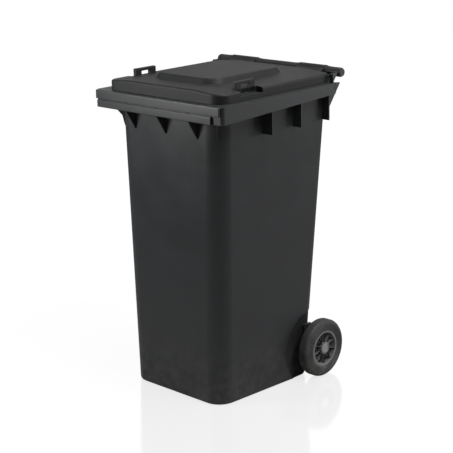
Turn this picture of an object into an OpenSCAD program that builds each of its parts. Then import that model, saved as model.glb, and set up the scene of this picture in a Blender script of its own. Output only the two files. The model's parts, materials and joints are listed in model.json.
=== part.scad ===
// Two-wheeled refuse bin with a hinged lid.
// Origin: on the ground, under the middle of the whole bin. +X is the bin's right seen from the front,
// -Y is the front with the comb lip, +Y is the rear with the wheels and handle, +Z is up.

/* [Overall] */
// Depth from the comb lip to the back of the lid hinge
overall_d = 606; // [560:1:660]
// Width over the side rims
rim_w = 580; // [550:1:600]
// Height of the rim at the comb lip
rim_front_h = 1005; // [900:1:1100]
// Rise of the rim from front to rear, in degrees
rim_pitch = 1.47; // [0.8:0.01:2]

/* [Tub] */
// Half width of the tub's front at the ground
base_half_front = 208; // [200:1:212]
// Half width of the tub's rear at the ground
base_half_rear = 228; // [215:1:231]
// Half width of the tub's front under the rim
top_half_front = 232; // [225:1:240]
// Half width of the tub's rear under the rim
top_half_rear = 256; // [245:1:260]
// Height at which the two under-rim widths are taken
top_level = 950; // [850:1:1000]
// Set-back of the front wall from the comb lip at the ground
base_front_in = 60; // [52:1:75]
// Set-back of the front wall from the comb lip under the rim
top_front_in = 45; // [40:1:50]
// Set-back of the rear wall from the lid hinge at the ground
base_rear_in = 107; // [104:1:125]
// Set-back of the rear wall from the lid hinge under the rim
top_rear_in = 36; // [34:1:44]
// Radius of the upright corners at the front
front_corner_r = 60; // [45:1:70]
// Radius of the upright corners at the rear
rear_corner_r = 36; // [28:1:46]
// Wall thickness
wall = 4.5; // [3.5:0.5:6]
// Thickness of the floor
floor_t = 6; // [4:0.5:9]
// Inset of the edge between wall and floor
base_edge = 9; // [6:1:16]

/* [Rim] */
// Thickness of the rim's plates
rim_t = 4; // [3:0.5:5]
// Depth of the rim's skirt at the front
rim_skirt_front = 57; // [50:1:64]
// Depth of the rim's skirt at the rear
rim_skirt_rear = 35; // [30:1:45]
// Corner radius of the rim at the rear
rim_rear_r = 24; // [15:1:35]
// Corner radius of the rim at the front
rim_front_r = 12; // [8:1:20]
// Set-back of the rim's rear edge from the lid hinge
rim_rear_in = 24; // [22:1:30]
// Width of the comb lip
lip_w = 566; // [530:1:570]
// Height of the lip's upper band
lip_band_h = 29; // [22:1:34]
// Width and depth of the groove between the lip's bands
lip_groove = 2.5; // [1.5:0.5:4]
// Length of the notch at the right end of the lip's lower band
lip_notch = 37; // [25:1:45]

/* [Ribs] */
// Thickness of the ribs under the rim
rib_t = 5; // [4:0.5:7]
// Distance from the middle to the outer front ribs
front_rib_x = 143; // [120:1:160]
// Depth of the ribs below the rim's skirt
rib_drop = 62; // [50:1:75]
// Pitch of the ribs along each side
side_rib_pitch = 140; // [110:1:145]
// Rearward place of the first side rib, from the comb lip
side_rib_start = 244; // [220:1:250]

/* [Lid] */
// Width of the lid
lid_w = 524; // [500:1:526]
// Set-back of the lid's front from the comb lip
lid_front_in = 28; // [20:1:36]
// Set-back of the lid's rear edge from the lid hinge
lid_rear_in = 32; // [31:1:36]
// Corner radius of the lid at the front
lid_front_r = 45; // [30:1:60]
// Corner radius of the lid at the rear
lid_rear_r = 22; // [10:1:30]
// Wall thickness of the lid
lid_t = 4; // [3:0.5:5]
// Height of the lid's front edge
lid_edge_h = 37; // [32:1:40]
// Height of the lid's side edges
lid_side_h = 30; // [24:1:33]
// Height of the raised panel above the rim
dome_h = 57; // [50:1:60]
// Width of the raised panel's flat top
dome_top_w = 284; // [260:1:292]
// Width of the raised panel's foot
dome_foot_w = 300; // [285:1:320]
// Set-back of the raised panel's foot from the lid's front
dome_front_in = 80; // [70:1:95]
// Distance from the raised panel's foot to the lid's rear edge
dome_rear_in = 100; // [80:1:115]
// Run of the raised panel's slope at the front and rear
dome_slope = 16; // [8:1:24]
// Corner radius of the raised panel at the front
dome_front_r = 50; // [30:1:60]
// Corner radius of the raised panel at the rear
dome_rear_r = 22; // [14:1:40]
// Width of the ears that reach back beside the hinge lugs
ear_w = 29; // [15:1:30]
// Gap between the lid and the rim
lid_gap = 0.5; // [0.3:0.1:1]

/* [Lid grips] */
// Distance from the middle to each lid grip
grip_x = 228; // [220:1:230]
// Length of each lid grip
grip_len = 90; // [75:1:100]
// Width of each lid grip
grip_t = 14; // [10:1:16]
// Height of each lid grip above the rim
grip_h = 57; // [52:1:60]
// Length of the opening through each lid grip
grip_hole = 38; // [30:1:44]
// Set-back of each lid grip from the comb lip
grip_front_in = 125; // [115:1:135]

/* [Hinge and handle] */
// Height of the hinge line above the ground
hinge_h = 1050; // [945:1:1145]
// Radius of the hinge pins
pin_r = 7; // [5:0.5:8]
// Outer radius of the lid's knuckles
knuckle_r = 19; // [17:0.5:20]
// Radius of the handle bar
bar_r = 16; // [14:0.5:17]
// Inner end of each lid knuckle
knuckle_x = 98; // [90:1:110]
// Length of each lid knuckle
knuckle_len = 120; // [100:1:125]
// Thickness of the lugs that carry the hinge pins
lug_t = 12; // [8:1:14]
// Half length of the handle bar
bar_half = 281; // [278:1:284]

/* [Wheels] */
// Radius of the wheels
wheel_r = 100; // [90:1:110]
// Width of the tyres
wheel_w = 47; // [40:1:48]
// Distance over the outer faces of the wheels
wheel_track = 576; // [574:1:584]
// Distance from the comb lip to the axle
axle_front = 501; // [499:1:505]
// Radius of the axle
axle_r = 10; // [8:0.5:11]
// Radius on which the tyre sits
tyre_seat_r = 60; // [55:1:64]
// Radius of the recess in the tub beside each wheel
recess_r = 137; // [125:1:142]
// Distance from the middle to the floor of each wheel recess
recess_in = 216; // [213:1:222]
// Number of spokes
spokes = 10; // [8:1:14]
// Outer radius of the hub
hub_r = 21; // [19:1:24]
// Outer radius of the bearing bushes
bush_r = 14; // [13.5:0.5:16]
// Length of each bearing bush
bush_len = 15; // [10:1:18]

/* [Fits] */
// Radial clearance of turning fits
run_fit = 0.06; // [0.03:0.01:0.1]
// End clearance of turning pieces
end_gap = 0.5; // [0.3:0.1:0.8]
// Radial clearance of push fits
push_fit = 0.1; // [0.05:0.05:0.2]

/* [Hidden] */
$fn = 64;
hull_fn = 32;
eps = 0.01;
far = 1600;
lip_y = -overall_d / 2;
hinge_y = overall_d / 2 - knuckle_r;
rim_len = hinge_y - rim_rear_in - lip_y;
rim_back = 8;
lid_len = hinge_y - lid_rear_in - lip_y - lid_front_in;
base_y0 = lip_y + base_front_in;
base_y1 = hinge_y - base_rear_in;
top_y0 = lip_y + top_front_in;
top_y1 = hinge_y - top_rear_in;
axle_y = lip_y + axle_front;
tub_top = rim_front_h + 60;
skirt_x = rim_w / 2 - rim_t;
lip_t = 6;
// Height of the bottom of the rim's skirt at a distance back from the lip
function skirt_z(back) = rim_front_h + back * tan(rim_pitch) - rim_skirt_front
    + (rim_skirt_front - rim_skirt_rear) * back / rim_len;
rib_z0 = skirt_z(0) - rib_drop;
// Front corner gussets
gusset_reach = 62;
// Transponder nest
nest_x = 216;
nest_in = 30;
nest_r = 16;
disc_r = 13;
disc_h = 5;
nest_h = 26;
plug_flange_r = 13.8;
plug_h = 8;
// Lugs and webs at the rear
lug_r = 17;
neck_y0 = hinge_y - 26;
neck_y1 = hinge_y - 10;
web_drop = 120;
pin_head_r = 13;
pin_head_t = 4;
pin_in = knuckle_x - lug_t + 2;
bracket_t = 13;
// Wheels
wheel_in = wheel_track / 2 - wheel_w;
hub_in = wheel_in + 2;
hub_out = wheel_track / 2 - 2;
axle_lug_t = 12;
axle_lug_r = 18;
axle_lug_x = 212;
axle_mid_x = 70;
nut_t = 1.5;
nut_r = 15;
cap_t = 3;
cap_r = 17;
cap_depth = 7;
bush_out = hub_out - cap_depth - cap_t;
nut_x = bush_out + end_gap;
axle_half = nut_x + nut_t + 2;
web_t = 5;
spoke_t = 4;
rim_ring_t = 5;
rim_lip_r = tyre_seat_r + 3;
rim_in = wheel_in + 4;
rim_out = wheel_track / 2 - 4;
pad_r = 9;
pad_h = 5;
pad_x = 180;
dark = [0.2, 0.2, 0.21];
lid_dark = [0.23, 0.23, 0.24];

// ---------- Shared outlines and placings ----------

// Plane of the rim: origin at the lip's top edge, y running back, z standing off the rim
module in_rim() {
    translate([0, lip_y, rim_front_h]) rotate([rim_pitch, 0, 0]) children();
}

// A cylinder along X from x0 to x1
module rod_x(r, x0, x1) {
    translate([x0, 0, 0]) rotate([0, 90, 0]) cylinder(r = r, h = x1 - x0);
}

// A plate in the YZ plane from x0 to x1, its outline given as [y, z]
module plate_x(x0, x1, points) {
    translate([x0, 0, 0]) rotate([90, 0, 90]) linear_extrude(x1 - x0) polygon(points);
}

// Both sides, left and right
module both() {
    children();
    mirror([1, 0, 0]) children();
}

// Puts a piece drawn for the right on its side
module on_side(side) {
    if (side > 0) children();
    else mirror([1, 0, 0]) children();
}

// Rectangle from y0 to y1 with its own corner radius at each end
module rounded(w, y0, y1, r0, r1) {
    translate([-w / 2 + r0, y0]) square([w - 2 * r0, r0 + eps]);
    translate([-w / 2, y0 + r0]) square([w, y1 - y0 - r0 - r1]);
    translate([-w / 2 + r1, y1 - r1 - eps]) square([w - 2 * r1, r1 + eps]);
    for (s = [-1, 1]) {
        translate([s * (w / 2 - r0), y0 + r0]) circle(r0);
        translate([s * (w / 2 - r1), y1 - r1]) circle(r1);
    }
}

// ---------- Tub ----------

// Recess in the tub's side beside each wheel, grown by the wall on the inside
module wheel_recess(grow) {
    both() translate([0, axle_y, wheel_r]) rod_x(recess_r + grow, recess_in - grow, rim_w);
}

// Corner posts of the tub's section at height z, inset all round
module section(z, inset) {
    k = z / top_level;
    half_f = base_half_front + (top_half_front - base_half_front) * k - inset;
    half_r = base_half_rear + (top_half_rear - base_half_rear) * k - inset;
    y0 = base_y0 + (top_y0 - base_y0) * k + inset;
    y1 = base_y1 + (top_y1 - base_y1) * k - inset;
    rf = front_corner_r - inset;
    rr = rear_corner_r - inset;
    translate([0, 0, z]) for (s = [-1, 1]) {
        translate([s * (half_f - rf), y0 + rf, 0]) cylinder(r = rf, h = eps, $fn = hull_fn);
        translate([s * (half_r - rr), y1 - rr, 0]) cylinder(r = rr, h = eps, $fn = hull_fn);
    }
}

// Solid outer form of the tub
module tub_form() {
    hull() {
        section(0, base_edge);
        section(base_edge * 0.3, base_edge * 0.35);
        section(base_edge, 0);
        section(tub_top, 0);
    }
}

// Space inside the tub
module tub_space() {
    hull() {
        section(floor_t, base_edge);
        section(floor_t + base_edge, wall);
        section(tub_top + 1, wall);
    }
}

// Half space under the rim's plane
module under_rim(drop) {
    in_rim() translate([-far / 2, -far / 2, -far - drop]) cube([far, far * 1.5, far]);
}

module rim_frame() {
    front = rim_skirt_front;
    difference() {
        in_rim() {
            translate([0, 0, -rim_t]) linear_extrude(rim_t)
                rounded(rim_w, rim_back, rim_len, rim_front_r, rim_rear_r);
            translate([0, 0, -front]) linear_extrude(front) difference() {
                rounded(rim_w, rim_back, rim_len, rim_front_r, rim_rear_r);
                rounded(rim_w - 2 * rim_t, rim_back + rim_t, rim_len - rim_t,
                    rim_front_r - rim_t, rim_rear_r - rim_t);
            }
        }
        translate([-lip_w / 2 + rim_t, lip_y + lip_t, rim_front_h - front - 1])
            cube([lip_w - 2 * rim_t, rim_back + rim_t, front - rim_t + 1]);
        plate_x(-far / 2, far / 2, [[lip_y - 1, skirt_z(-1)], [hinge_y, skirt_z(hinge_y - lip_y)],
            [hinge_y, 500], [lip_y - 1, 500]]);
    }
}

// The comb lip: two bands with a groove, on the front of the rim
module comb_lip() {
    half = lip_w / 2;
    z0 = rim_front_h - rim_skirt_front;
    split = rim_front_h - lip_band_h;
    difference() {
        union() {
            translate([-half, lip_y, split]) cube([lip_w, lip_t, lip_band_h]);
            translate([-half + 4, lip_y + 1.5, z0]) cube([lip_w - 4 - lip_notch, lip_t - 1.5, split - z0 + eps]);
        }
        translate([-half - 1, lip_y - 1, split - lip_groove]) cube([lip_w + 2, lip_groove + 2, lip_groove]);
    }
    translate([-half, lip_y, rim_front_h - rim_t]) cube([lip_w, 45, rim_t]);
}

module front_ribs() {
    z0 = rim_front_h - rim_skirt_front;
    for (x = [-front_rib_x, 0, front_rib_x])
        plate_x(x - rib_t / 2, x + rib_t / 2, [[top_y0 + 10, rib_z0], [top_y0 - 2, rib_z0],
            [lip_y + 3, z0 + 2], [lip_y + 3, rim_front_h - rim_t], [top_y0 + 10, rim_front_h - rim_t]]);
    for (s = [-1, 1])
        translate([s * (top_half_front - front_corner_r), top_y0 + front_corner_r, 0])
            rotate([0, 0, s > 0 ? -45 : -135]) rotate([90, 0, 0])
                translate([0, 0, -rib_t / 2]) linear_extrude(rib_t)
                    polygon([[front_corner_r - 8, rib_z0], [front_corner_r, rib_z0],
                        [front_corner_r + 8, rib_z0 + 34],
                        [front_corner_r + gusset_reach * 0.45, z0 - 6],
                        [front_corner_r + gusset_reach - 20, z0 + 2],
                        [front_corner_r + gusset_reach - 20, rim_front_h - rim_t],
                        [front_corner_r - 8, rim_front_h - rim_t]]);
}

module side_ribs() {
    both() for (i = [0:2]) {
        back = side_rib_start + i * side_rib_pitch;
        top = rim_front_h + back * tan(rim_pitch) - rim_t / 2;
        translate([top_half_front - 14, lip_y + back - rib_t / 2, rib_z0 + 5 * i])
            cube([skirt_x - 5 - top_half_front + 14, rib_t, top - rib_z0 - 5 * i]);
    }
}

// A lug with a round eye on the hinge line and a web down the rear wall
module hinge_lug(x0) {
    translate([0, hinge_y, hinge_h]) rod_x(lug_r, x0, x0 + lug_t);
    plate_x(x0, x0 + lug_t, [[neck_y0, hinge_h - 6], [neck_y1, hinge_h - 6], [neck_y1, hinge_h - 46],
        [top_y1, hinge_h - web_drop], [top_y1 - 12, hinge_h - web_drop], [top_y1 - 12, hinge_h - 50],
        [neck_y0, hinge_h - 38]]);
}

// Bracket between the end of the handle bar and the last side rib
module end_bracket() {
    x1 = bar_half;
    rib_y = lip_y + side_rib_start + 2 * side_rib_pitch;
    translate([0, hinge_y, hinge_h]) rod_x(bar_r, x1 - bracket_t, x1);
    plate_x(x1 - bracket_t, x1, [[hinge_y + bar_r * 0.9, hinge_h - 7], [rib_y, skirt_z(rib_y - lip_y) - 20],
        [rib_y, rim_front_h], [hinge_y - 44, rim_front_h + 12], [hinge_y - bar_r * 0.9, hinge_h + 5]]);
}

module handle_bar() {
    translate([0, hinge_y, hinge_h]) {
        rod_x(bar_r, -knuckle_x + lug_t - eps, knuckle_x - lug_t + eps);
        both() rod_x(bar_r, knuckle_x + knuckle_len + lug_t - eps, bar_half);
    }
}

// Lugs that carry the axle behind the rear wall
module axle_lugs() {
    both() for (x = [axle_mid_x, axle_lug_x]) {
        translate([0, axle_y, wheel_r]) rod_x(axle_lug_r, x, x + axle_lug_t);
        translate([x, axle_y - 40, wheel_r - axle_lug_r]) cube([axle_lug_t, 40, 2 * axle_lug_r]);
        plate_x(x, x + axle_lug_t, [[axle_y - 40, wheel_r], [axle_y + axle_lug_r * 0.6, wheel_r + axle_lug_r * 0.8],
            [axle_y, wheel_r + 80], [axle_y - 40, wheel_r + 80]]);
    }
}

module nest_boss() {
    translate([nest_x, lip_y + nest_in, rim_front_h - rim_t - nest_h]) cylinder(r = nest_r, h = nest_h + eps);
}

module tub() {
    color(dark) difference() {
        union() {
            difference() {
                intersection() {
                    tub_form();
                    under_rim(0);
                }
                wheel_recess(0);
            }
            rim_frame();
            comb_lip();
            front_ribs();
            side_ribs();
            both() {
                hinge_lug(knuckle_x - lug_t);
                hinge_lug(knuckle_x + knuckle_len);
                end_bracket();
            }
            handle_bar();
            axle_lugs();
            nest_boss();
        }
        difference() {
            tub_space();
            wheel_recess(wall);
        }
        translate([0, hinge_y, hinge_h]) both() rod_x(pin_r + push_fit, pin_in - 1, bar_half + 1);
        translate([0, axle_y, wheel_r]) rod_x(axle_r + push_fit, -rim_w / 2, rim_w / 2);
        translate([nest_x, lip_y + nest_in, rim_front_h - rim_t - nest_h - 1])
            cylinder(r = disc_r + push_fit, h = nest_h - 1);
    }
}

// ---------- Lid ----------

// Cross-section of the lid, drawn in from its outside
module lid_profile(inset, foot) {
    half = lid_w / 2 - inset;
    foot_half = dome_foot_w / 2;
    polygon([[-half, foot], [half, foot], [half, lid_side_h - 4 - inset], [half - 5, lid_side_h + 1 - inset],
        [foot_half, lid_edge_h + 2 - inset], [-foot_half, lid_edge_h + 2 - inset],
        [-half + 5, lid_side_h + 1 - inset], [-half, lid_side_h - 4 - inset]]);
}

module lid_form(inset, foot) {
    y0 = lid_front_in + inset;
    y1 = lid_front_in + lid_len - inset;
    intersection() {
        rotate([90, 0, 0]) translate([0, 0, -y1 - 1]) linear_extrude(y1 - y0 + 2) lid_profile(inset, foot);
        translate([0, 0, foot]) linear_extrude(dome_h)
            rounded(lid_w - 2 * inset, y0, y1, lid_front_r - inset, lid_rear_r - inset);
    }
    dome(inset);
}

// Four round posts at the corners of the raised panel's outline
module dome_posts(w, y0, y1, r0, r1, z, h) {
    for (s = [-1, 1]) translate([0, 0, z]) {
        translate([s * (w / 2 - r0), y0 + r0, 0]) cylinder(r = r0, h = h, $fn = hull_fn);
        translate([s * (w / 2 - r1), y1 - r1, 0]) cylinder(r = r1, h = h, $fn = hull_fn);
    }
}

// Raised panel with steep sides and rounded corners
module dome(inset) {
    y0 = lid_front_in + dome_front_in + inset;
    y1 = lid_front_in + lid_len - dome_rear_in - inset;
    foot_h = 4;
    hull() {
        dome_posts(dome_foot_w - 2 * inset, y0, y1, dome_front_r - inset, dome_rear_r - inset,
            lid_edge_h - inset - foot_h, foot_h);
        dome_posts(dome_top_w - 2 * inset, y0 + dome_slope, y1 - dome_slope, dome_front_r - inset,
            dome_rear_r - inset, dome_h - inset - eps, eps);
    }
}

// Ears at the rear corners that reach back beside the hinge lugs
module lid_ears() {
    reach = lid_front_in + lid_len + lid_rear_in - knuckle_r - 1;
    both() translate([lid_w / 2 - ear_w, lid_front_in + lid_len - lid_rear_r - 2, lid_gap])
        cube([ear_w, reach - lid_front_in - lid_len + lid_rear_r + 2, lid_side_h - 6]);
}

// Finger pocket beside each lid grip, grown by the wall where the inside follows it
module grip_pocket(grow) {
    both() translate([grip_x + grip_t / 2 - grow, grip_front_in - 6 - grow, 14 - grow])
        cube([60, grip_len + 12 + 2 * grow, dome_h]);
}

module lid_grips() {
    post = (grip_len - grip_hole) / 2;
    both() translate([grip_x - grip_t / 2, grip_front_in, 0]) difference() {
        translate([0, 0, lid_side_h - 2]) cube([grip_t, grip_len, grip_h - lid_side_h + 2]);
        translate([-1, post, lid_side_h + 4]) cube([grip_t + 2, grip_hole, grip_h - lid_side_h - 14]);
    }
}

module lid_knuckles() {
    x0 = knuckle_x + end_gap;
    len = knuckle_len - 2 * end_gap;
    both() {
        translate([0, hinge_y, hinge_h]) rod_x(knuckle_r, x0, x0 + len);
        plate_x(x0, x0 + len, [[hinge_y - lid_rear_in - 2, hinge_h - 16], [hinge_y - 10, hinge_h - 16],
            [hinge_y, hinge_h + knuckle_r], [hinge_y - 14, hinge_h + knuckle_r - 5],
            [hinge_y - lid_rear_in - 2, hinge_h + 1]]);
    }
}

module lid() {
    color(lid_dark) difference() {
        union() {
            in_rim() difference() {
                union() {
                    lid_form(0, lid_gap);
                    lid_ears();
                }
                grip_pocket(0);
                difference() {
                    lid_form(lid_t, -1);
                    grip_pocket(lid_t);
                }
            }
            in_rim() lid_grips();
            lid_knuckles();
            lid_pad_studs();
        }
        translate([0, hinge_y, hinge_h]) rod_x(pin_r + run_fit, -rim_w / 2, rim_w / 2);
    }
}

// Studs under the lid that hold the pads
module lid_pad_studs() {
    foot = lid_gap + pad_h;
    in_rim() both() translate([pad_x, lid_front_in + 20, foot]) cylinder(r = pad_r, h = lid_edge_h - 3 - foot);
}

// Rubber pads under the front of the lid that soften its closing
module lid_pads() {
    color([0.08, 0.08, 0.08]) in_rim() both()
        translate([pad_x, lid_front_in + 20, lid_gap]) cylinder(r = pad_r, h = pad_h);
}

// ---------- Hinge pins ----------

module hinge_pin(side) {
    color(dark) on_side(side) translate([0, hinge_y, hinge_h]) {
        rod_x(pin_r, pin_in, bar_half + eps);
        rod_x(pin_head_r, bar_half, bar_half + pin_head_t);
    }
}

// ---------- Axle ----------

module axle() {
    color([0.6, 0.6, 0.62]) translate([0, axle_y, wheel_r]) rod_x(axle_r, -axle_half, axle_half);
}

module axle_ring(side, r, x0, x1, bore) {
    on_side(side) translate([0, axle_y, wheel_r]) difference() {
        rod_x(r, x0, x1);
        rod_x(bore, x0 - 1, x1 + 1);
    }
}

module axle_spacer(side) {
    color([0.12, 0.12, 0.12])
        axle_ring(side, bush_r, axle_lug_x + axle_lug_t, hub_in - end_gap, axle_r + push_fit);
}

module push_nut(side) {
    color([0.7, 0.7, 0.7]) axle_ring(side, nut_r, nut_x, nut_x + nut_t, axle_r);
}

// ---------- Wheels ----------

module tyre(side) {
    w = wheel_w;
    color([0.1, 0.1, 0.1]) on_side(side) translate([wheel_in, axle_y, wheel_r]) rotate([0, 90, 0]) rotate_extrude()
        polygon([[tyre_seat_r, 5], [rim_lip_r + 2, 2], [rim_lip_r + 14, 0], [wheel_r - 14, 1], [wheel_r - 4, 6],
            [wheel_r, 14], [wheel_r, w - 14], [wheel_r - 4, w - 6], [wheel_r - 14, w - 1],
            [rim_lip_r + 14, w], [rim_lip_r + 2, w - 2], [tyre_seat_r, w - 5]]);
}

module wheel(side) {
    mid = (hub_in + hub_out) / 2;
    color([0.28, 0.28, 0.29]) on_side(side) translate([0, axle_y, wheel_r]) difference() {
        union() {
            rod_x(hub_r, hub_in, hub_out);
            rod_x(tyre_seat_r - rim_ring_t + 1, mid - web_t / 2, mid + web_t / 2);
            difference() {
                rod_x(tyre_seat_r, wheel_in + 5, wheel_track / 2 - 5);
                rod_x(tyre_seat_r - rim_ring_t, wheel_in, wheel_track / 2);
            }
            for (i = [0:spokes - 1]) rotate([i * 360 / spokes, 0, 0])
                translate([rim_in + 4, -spoke_t / 2, hub_r - 3])
                    cube([rim_out - rim_in - 8, spoke_t, tyre_seat_r - rim_ring_t - hub_r + 4]);
        }
        rod_x(bush_r, hub_in - 1, hub_out - cap_depth - cap_t + eps);
        rod_x(cap_r, bush_out, hub_out + 1);
    }
}

module bush(side, x0) {
    color([0.85, 0.85, 0.8]) axle_ring(side, bush_r, x0, x0 + bush_len, axle_r + run_fit);
}

module hub_cap(side) {
    color([0.4, 0.4, 0.41]) on_side(side) translate([0, axle_y, wheel_r]) {
        rod_x(cap_r - push_fit, hub_out - cap_t, hub_out);
        difference() {
            rod_x(cap_r - push_fit, bush_out + nut_t + 3, hub_out - cap_t + eps);
            rod_x(cap_r - 1.5, bush_out, hub_out - cap_t + eps);
        }
    }
}

// ---------- Transponder in its nest ----------

module transponder() {
    color([0.1, 0.1, 0.12]) translate([nest_x, lip_y + nest_in, rim_front_h - rim_t - disc_h - 2])
        cylinder(r = disc_r, h = disc_h);
}

module transponder_plug() {
    color([0.15, 0.15, 0.16]) translate([nest_x, lip_y + nest_in, rim_front_h - rim_t - nest_h]) {
        cylinder(r = disc_r, h = plug_h);
        translate([0, 0, -3]) cylinder(r = plug_flange_r, h = 3);
    }
}

// ---------- One line per node ----------

tub();
lid();
hinge_pin(-1);  // hinge_pin_left
hinge_pin(1);  // hinge_pin_right
axle();
axle_spacer(-1);  // axle_spacer_left
axle_spacer(1);  // axle_spacer_right
push_nut(-1);  // push_nut_left
push_nut(1);  // push_nut_right
tyre(-1);  // tyre_left
tyre(1);  // tyre_right
wheel(-1);  // wheel_left
wheel(1);  // wheel_right
bush(-1, hub_in);  // bush_inner_left
bush(1, hub_in);  // bush_inner_right
bush(-1, bush_out - bush_len);  // bush_outer_left
bush(1, bush_out - bush_len);  // bush_outer_right
hub_cap(-1);  // hub_cap_left
hub_cap(1);  // hub_cap_right
lid_pads();
transponder();
transponder_plug();
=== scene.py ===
"""Two-wheeled refuse bin: tub with comb lip and gussets, hinged lid with raised panel, and wheels."""
import json
import math

import bmesh
import bpy
from bpy.props import (BoolProperty, FloatProperty, FloatVectorProperty, IntProperty,
                       PointerProperty)
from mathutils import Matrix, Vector


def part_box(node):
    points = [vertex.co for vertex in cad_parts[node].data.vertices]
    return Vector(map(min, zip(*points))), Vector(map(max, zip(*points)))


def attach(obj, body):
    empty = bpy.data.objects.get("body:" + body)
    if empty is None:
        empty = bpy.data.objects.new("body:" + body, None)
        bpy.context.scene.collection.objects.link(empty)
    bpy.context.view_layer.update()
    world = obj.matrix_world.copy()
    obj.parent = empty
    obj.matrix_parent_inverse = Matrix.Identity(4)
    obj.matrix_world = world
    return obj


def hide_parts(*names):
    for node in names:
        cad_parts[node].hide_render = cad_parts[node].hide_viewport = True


bl_info = {
    "name": "Two-wheeled refuse bin",
    "version": (1, 0, 0),
    "blender": (4, 5, 0),
    "location": "3D View > Sidebar > Bin",
    "description": "Builds a two-wheeled refuse bin round its packed frame",
    "category": "Add Mesh",
}

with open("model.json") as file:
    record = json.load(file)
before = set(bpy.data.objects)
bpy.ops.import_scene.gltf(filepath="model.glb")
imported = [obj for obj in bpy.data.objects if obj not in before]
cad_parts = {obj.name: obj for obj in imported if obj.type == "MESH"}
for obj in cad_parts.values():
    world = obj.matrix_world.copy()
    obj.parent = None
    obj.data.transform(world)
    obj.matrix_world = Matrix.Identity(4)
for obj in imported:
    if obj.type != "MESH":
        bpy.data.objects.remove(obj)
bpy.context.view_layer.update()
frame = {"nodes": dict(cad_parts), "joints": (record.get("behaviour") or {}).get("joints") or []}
MM = 0.001
JOINTS = {joint["name"]: Vector(joint["pos_m"]) for joint in frame["joints"]}
HINGE = JOINTS["lid_hinge"]
AXLE = JOINTS["wheel_right_spin"]
RIGHT = "right"
LEFT = "left"

# Rim plane: it starts at the top edge of the comb lip and rises towards the rear
LIP_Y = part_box("tub")[0].y
RIM_FRONT = 1005 * MM
RIM_PITCH = math.radians(1.47)
RIM_HALF = 290 * MM
RIM_DEPTH = 563 * MM
RIM_PLATE = 4 * MM
SKIRT_FRONT = 57 * MM
SKIRT_REAR = 35 * MM
# Outer half widths and front and rear faces of the tub, at the ground and at a level under the rim
LEVEL = 950 * MM
GROUND_PLAN = (208 * MM, 228 * MM, -243 * MM, 177 * MM)
UPPER_PLAN = (232 * MM, 256 * MM, -258 * MM, 248 * MM)
FRONT_RIB_X = 143 * MM
SIDE_RIBS_Y = (-59 * MM, 81 * MM, 221 * MM)
RIB_DROP = 62 * MM
LID_HALF = 262 * MM
LID_FRONT = 28 * MM
LID_REAR = 555 * MM
BAR_END = 281 * MM
BAR_R = 16 * MM
LUG_R = 17 * MM
KNUCKLE_R = 19 * MM
KNUCKLE_IN = 98 * MM
KNUCKLE_OUT = 218 * MM
LUG_T = 12 * MM
GRIP_X = 228 * MM
TYRE_SEAT = 60 * MM
HUB_R = 21 * MM
RECESS_IN = 216 * MM

# Camera: its place, its turn and tilt in degrees, its lens and its shift
CAMERA_PLACE = (2.9168, -2.9623, 1.6450)
CAMERA_TURN = 40.357
CAMERA_TILT = 12.477
CAMERA_LENS = 100.06
CAMERA_SHIFT = (-0.1917, -0.1276)
LIGHTS_AIM = Vector((0, 0, 0.55))


# ---------- Modelling tools ----------

def select_nothing():
    """Leaves edit mode and deselects everything."""
    if bpy.context.object and bpy.context.object.mode != "OBJECT":
        bpy.ops.object.mode_set(mode="OBJECT")
    bpy.ops.object.select_all(action="DESELECT")


def take_up(piece):
    """Selects one piece alone and makes it the active one."""
    select_nothing()
    piece.select_set(True)
    bpy.context.view_layer.objects.active = piece


def apply_modifier(piece, name, kind, **settings):
    """Adds a modifier with its settings and applies it."""
    take_up(piece)
    modifier = piece.modifiers.new(name, kind)
    for key, value in settings.items():
        setattr(modifier, key, value)
    bpy.ops.object.modifier_apply(modifier=modifier.name)


def edit_all(piece):
    """Opens a piece in edit mode with all of it selected."""
    take_up(piece)
    bpy.ops.object.mode_set(mode="EDIT")
    bpy.ops.mesh.select_all(action="SELECT")


def open_piece(name):
    """Applies the place of the piece just added and opens it in edit mode with all of it selected."""
    bpy.ops.object.transform_apply(location=True, rotation=True, scale=True)
    piece = bpy.context.object
    piece.name = piece.data.name = name
    edit_all(piece)
    return piece


def add_box(name, low, high):
    """A box between two corners."""
    select_nothing()
    low, high = Vector(low), Vector(high)
    bpy.ops.mesh.primitive_cube_add(size=1, location=(low + high) / 2)
    bpy.context.object.scale = high - low
    return open_piece(name)


def add_rod(name, centre, radius, x0, x1, sides=48):
    """A round bar along X from x0 to x1."""
    select_nothing()
    bpy.ops.mesh.primitive_cylinder_add(
        vertices=sides, radius=radius, depth=abs(x1 - x0), rotation=(0, math.pi / 2, 0),
        location=((x0 + x1) / 2, centre.y, centre.z))
    return open_piece(name)


def middle(part):
    """Middle of a vertex, an edge or a face."""
    if isinstance(part, bmesh.types.BMVert):
        return part.co
    return sum((v.co for v in part.verts), Vector()) / len(part.verts)


def run(edge):
    """Direction of an edge, as a unit vector."""
    return (edge.verts[1].co - edge.verts[0].co).normalized()


def upright(edge):
    return abs(run(edge).z) > 0.7


def pick(piece, kind, test):
    """Selects the vertices, edges or faces that pass the test, and nothing else."""
    bpy.ops.mesh.select_mode(type=kind)
    bpy.ops.mesh.select_all(action="DESELECT")
    mesh = bmesh.from_edit_mesh(piece.data)
    mesh.normal_update()
    parts = {"VERT": mesh.verts, "EDGE": mesh.edges, "FACE": mesh.faces}[kind]
    hits = 0
    for part in parts:
        if test(part):
            part.select_set(True)
            hits += 1
    mesh.select_flush_mode()
    bmesh.update_edit_mesh(piece.data)
    return hits


def round_edges(piece, radius, segments, test):
    """Rounds the edges that pass the test."""
    if not pick(piece, "EDGE", test):
        raise RuntimeError(f"{piece.name}: no edge to round")
    bpy.ops.mesh.bevel(offset=radius, segments=segments, profile=0.5, affect="EDGES")


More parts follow.
